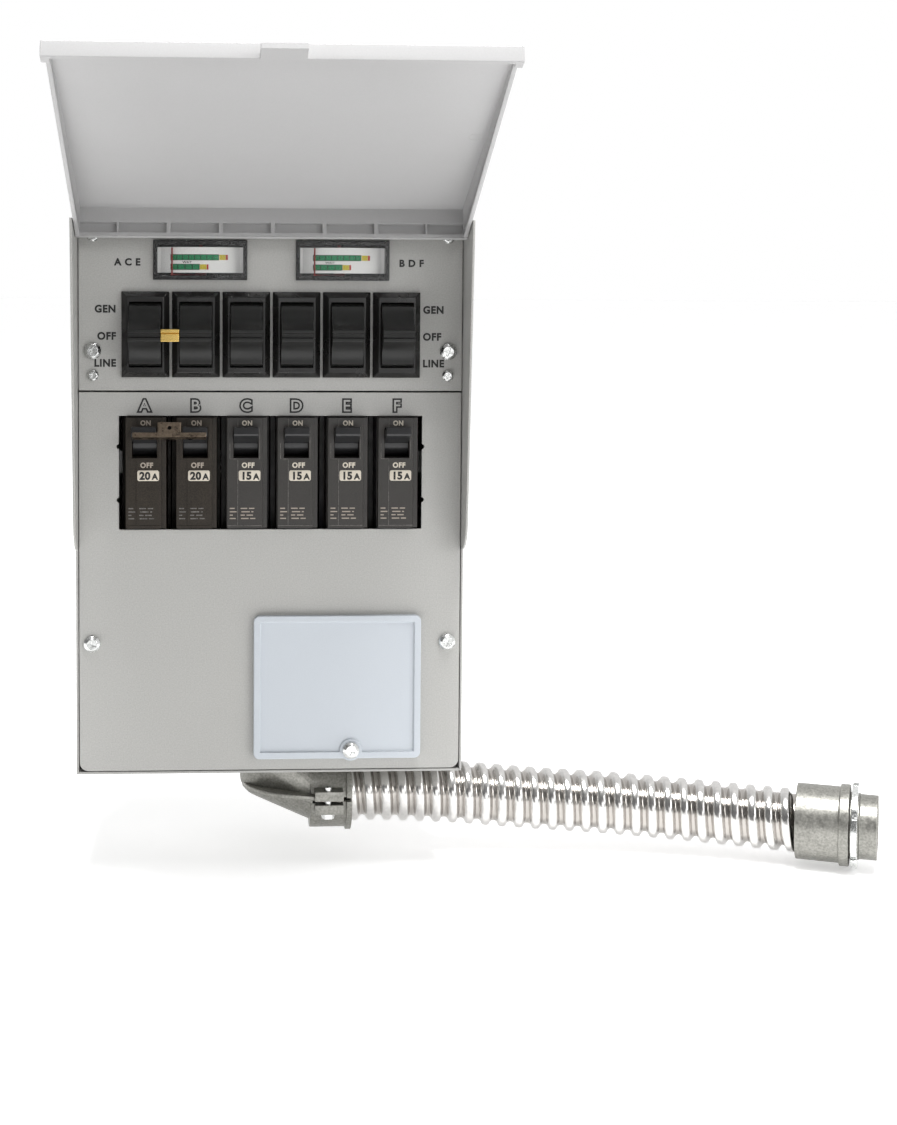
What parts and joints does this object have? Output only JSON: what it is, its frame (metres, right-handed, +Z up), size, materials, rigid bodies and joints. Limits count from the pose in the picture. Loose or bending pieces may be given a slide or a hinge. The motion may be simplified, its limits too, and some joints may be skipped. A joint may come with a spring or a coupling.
{
  "type": "manual transfer switch",
  "caption": "Wall-mounted manual transfer switch with rocker switches, branch breakers, wattmeters, a flip-up lid and a flexible conduit.",
  "frame": {"origin": "centre of the four wall-screw holes, on the back plane of the cabinet", "axes": "+X to the right seen from the front, +Y into the wall, +Z up; the covers face -Y"},
  "size_m": [0.4206, 0.2747, 0.4],
  "materials": {
    "cabinet_paint": "light grey textured powder coat",
    "cover_paint": "light grey textured powder coat",
    "lid_plastic": "moulded grey, fine matte texture",
    "plate_plastic": "blue-grey moulded, fine matte texture",
    "screw_zinc": "bright zinc",
    "switch_black": "black, semi-gloss",
    "rocker_black": "black, satin",
    "tie_brass": "bright brass",
    "breaker_black": "black moulding, satin",
    "tie_bronze": "dark bronze finish",
    "rail_steel": "plain",
    "meter_black": "black",
    "meter_clear": "clear moulded plastic",
    "dial_white": "printed white",
    "needle_red": "painted",
    "bar_aluminium": "plain",
    "ground_green": "green",
    "wire_black": "black insulation",
    "wire_red": "red insulation",
    "elbow_casting": "die-cast, satin",
    "conduit_metal": "bright interlocked strip"
  },
  "bodies": {
    "enclosure": {"cabinet": "cabinet_paint", "cabinet_side_left": "cabinet_paint", "cabinet_side_right": "cabinet_paint", "upper_panel": "cover_paint", "lower_cover": "cover_paint", "hinge_pins": "screw_zinc", "inlet_cover": "plate_plastic", "inlet_cover_screw": "screw_zinc", "lower_cover_screws": "screw_zinc", "upper_panel_screws": "screw_zinc", "panel_corner_screws": "screw_zinc", "switch_housing_a": "switch_black", "switch_housing_b": "switch_black", "switch_housing_c": "switch_black", "switch_housing_d": "switch_black", "switch_housing_e": "switch_black", "switch_housing_f": "switch_black", "switch_terminals": "tie_brass", "breaker_case_a": "breaker_black", "breaker_case_b": "breaker_black", "breaker_case_c": "breaker_black", "breaker_case_d": "breaker_black", "breaker_case_e": "breaker_black", "breaker_case_f": "breaker_black", "breaker_rail": "rail_steel", "breaker_lugs": "screw_zinc", "meter_case_left": "meter_black", "meter_case_right": "meter_black", "meter_cover_left": "meter_clear", "meter_cover_right": "meter_clear", "meter_dial_left": "dial_white", "meter_dial_right": "dial_white", "meter_terminals": "tie_brass", "neutral_bar": "bar_aluminium", "ground_lug": "ground_green", "wires_black": "wire_black", "wires_red": "wire_red", "conduit_elbow": "elbow_casting", "elbow_locknut": "screw_zinc", "elbow_clamp_screw": "screw_zinc", "conduit": "conduit_metal", "conduit_end_fitting": "elbow_casting", "conduit_end_locknut": "screw_zinc"},
    "lid": {"lid": "lid_plastic"},
    "rockers_ab": {"rocker_a": "rocker_black", "rocker_b": "rocker_black", "rocker_tie": "tie_brass"},
    "handles_ab": {"breaker_handle_a": "breaker_black", "breaker_handle_b": "breaker_black", "handle_tie": "tie_bronze"},
    "rocker_c_body": {"rocker_c": "rocker_black"},
    "handle_c_body": {"breaker_handle_c": "breaker_black"},
    "rocker_d_body": {"rocker_d": "rocker_black"},
    "handle_d_body": {"breaker_handle_d": "breaker_black"},
    "rocker_e_body": {"rocker_e": "rocker_black"},
    "handle_e_body": {"breaker_handle_e": "breaker_black"},
    "rocker_f_body": {"rocker_f": "rocker_black"},
    "handle_f_body": {"breaker_handle_f": "breaker_black"},
    "needle_left": {"meter_needle_left": "needle_red"},
    "needle_right": {"meter_needle_right": "needle_red"}
  },
  "joints": [
    {"name": "lid_hinge", "type": "hinge", "parent": "enclosure", "child": "lid", "pos_m": [0, -0.1116, 0.1361], "axis": [-1, 0, 0], "range_deg": [-116.2, 65]},
    {"name": "rocker_ab", "type": "hinge", "parent": "enclosure", "child": "rockers_ab", "pos_m": [-0.0504, -0.093, 0.0831], "axis": [1, 0, 0], "range_deg": [-12, 12]},
    {"name": "rocker_c", "type": "hinge", "parent": "enclosure", "child": "rocker_c_body", "pos_m": [-0.0126, -0.093, 0.0831], "axis": [1, 0, 0], "range_deg": [-12, 12]},
    {"name": "rocker_d", "type": "hinge", "parent": "enclosure", "child": "rocker_d_body", "pos_m": [0.0126, -0.093, 0.0831], "axis": [1, 0, 0], "range_deg": [-12, 12]},
    {"name": "rocker_e", "type": "hinge", "parent": "enclosure", "child": "rocker_e_body", "pos_m": [0.0378, -0.093, 0.0831], "axis": [1, 0, 0], "range_deg": [-12, 12]},
    {"name": "rocker_f", "type": "hinge", "parent": "enclosure", "child": "rocker_f_body", "pos_m": [0.063, -0.093, 0.0831], "axis": [1, 0, 0], "range_deg": [-12, 12]},
    {"name": "handle_ab", "type": "hinge", "parent": "enclosure", "child": "handles_ab", "pos_m": [-0.0508, -0.084, 0.0288], "axis": [1, 0, 0], "range_deg": [0, 36]},
    {"name": "handle_c", "type": "hinge", "parent": "enclosure", "child": "handle_c_body", "pos_m": [-0.0127, -0.084, 0.0288], "axis": [1, 0, 0], "range_deg": [0, 36]},
    {"name": "handle_d", "type": "hinge", "parent": "enclosure", "child": "handle_d_body", "pos_m": [0.0127, -0.084, 0.0288], "axis": [1, 0, 0], "range_deg": [0, 36]},
    {"name": "handle_e", "type": "hinge", "parent": "enclosure", "child": "handle_e_body", "pos_m": [0.0381, -0.084, 0.0288], "axis": [1, 0, 0], "range_deg": [0, 36]},
    {"name": "handle_f", "type": "hinge", "parent": "enclosure", "child": "handle_f_body", "pos_m": [0.0635, -0.084, 0.0288], "axis": [1, 0, 0], "range_deg": [0, 36]},
    {"name": "needle_left", "type": "hinge", "parent": "enclosure", "child": "needle_left", "pos_m": [-0.0357, -0.0645, 0.1204], "axis": [0, 0, 1], "range_deg": [0, 54], "stiffness_Nm_per_rad": 0.00001},
    {"name": "needle_right", "type": "hinge", "parent": "enclosure", "child": "needle_right", "pos_m": [0.0357, -0.0645, 0.1204], "axis": [0, 0, 1], "range_deg": [0, 54], "stiffness_Nm_per_rad": 0.00001}
  ]
}
